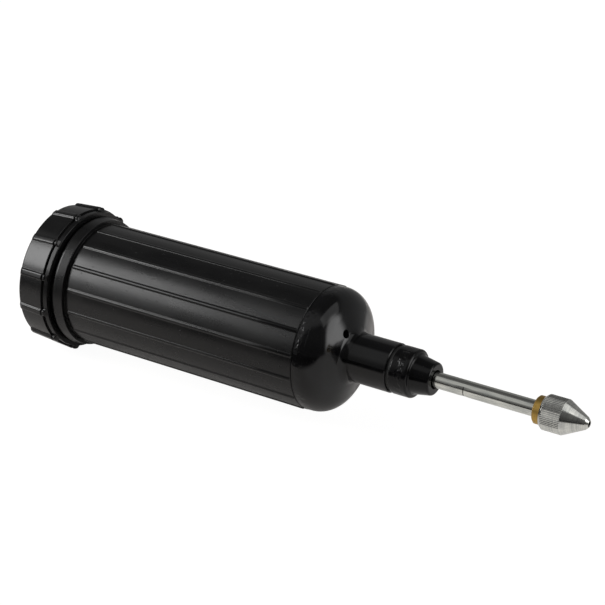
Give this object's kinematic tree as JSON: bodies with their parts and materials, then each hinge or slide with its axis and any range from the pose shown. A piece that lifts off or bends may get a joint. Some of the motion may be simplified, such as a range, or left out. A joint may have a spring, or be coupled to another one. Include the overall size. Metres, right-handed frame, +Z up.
{
  "type": "push-type hand grease gun",
  "caption": "Hand grease gun pumped by pushing its nozzle: ribbed black barrel with a lugged screw cap, domed metal head, sliding steel plunger tube and knurled nozzle.",
  "frame": {"origin": "on the ground below the middle of the gun, lying on its side", "axes": "+X along the gun from the end cap to the nozzle, +Z up, +Y to the left when looking along +X"},
  "size_m": [0.2404, 0.0584, 0.0584],
  "materials": {
    "cap_plastic": "black glass-filled nylon, satin",
    "barrel_plastic": "black moulded plastic, satin",
    "follower_plastic": "natural moulded plastic",
    "enamel": "gloss black enamel on cast metal",
    "zinc_plate": "bright zinc plate on turned steel",
    "turned_steel": "plain turned steel",
    "spring_steel": "drawn spring wire",
    "bearing_steel": "polished ball steel",
    "brass": "turned brass, matte",
    "rubber": "nitrile rubber"
  },
  "bodies": {
    "housing": {"barrel": "barrel_plastic", "head": "enamel", "head_ring": "rubber", "pump_cylinder": "turned_steel", "spring_seat": "turned_steel", "return_spring": "spring_steel", "gland_nut": "enamel", "gland_seal": "rubber", "guide_bush": "brass", "rod_seal": "rubber"},
    "cap_carrier": {"cap_seal": "rubber"},
    "cap": {"end_cap": "cap_plastic"},
    "follower": {"follower": "follower_plastic", "follower_cup": "rubber"},
    "plunger": {"plunger_tube": "zinc_plate", "piston_ring": "rubber", "stop_collar": "turned_steel", "stop_clip": "spring_steel", "coupling": "brass", "nozzle": "zinc_plate", "nozzle_ring": "rubber", "valve_spring": "spring_steel"},
    "valve": {"check_ball": "bearing_steel"}
  },
  "joints": [
    {"name": "cap_rise", "type": "slide", "parent": "housing", "child": "cap_carrier", "axis": [-1, 0, 0], "range_m": [0, 0.0105]},
    {"name": "cap_turn", "type": "hinge", "parent": "cap_carrier", "child": "cap", "pos_m": [-0.12025, 0, 0.02922], "axis": [-1, 0, 0], "range_deg": [0, 1260]},
    {"name": "follower_slide", "type": "slide", "parent": "housing", "child": "follower", "axis": [-1, 0, 0], "range_m": [-0.0015, 0.062]},
    {"name": "plunger_stroke", "type": "slide", "parent": "housing", "child": "plunger", "axis": [-1, 0, 0], "range_m": [0, 0.028], "stiffness_N_per_m": 1475, "springref_m": -0.006, "deforming": ["return_spring"]},
    {"name": "valve_lift", "type": "slide", "parent": "plunger", "child": "valve", "axis": [1, 0, 0], "range_m": [0, 0.001], "stiffness_N_per_m": 400, "springref_m": -0.001, "deforming": ["valve_spring"]}
  ],
  "couplings": [
    {"joint": "cap_rise", "follows": "cap_turn", "m_per_rad": 0.00047746}
  ]
}
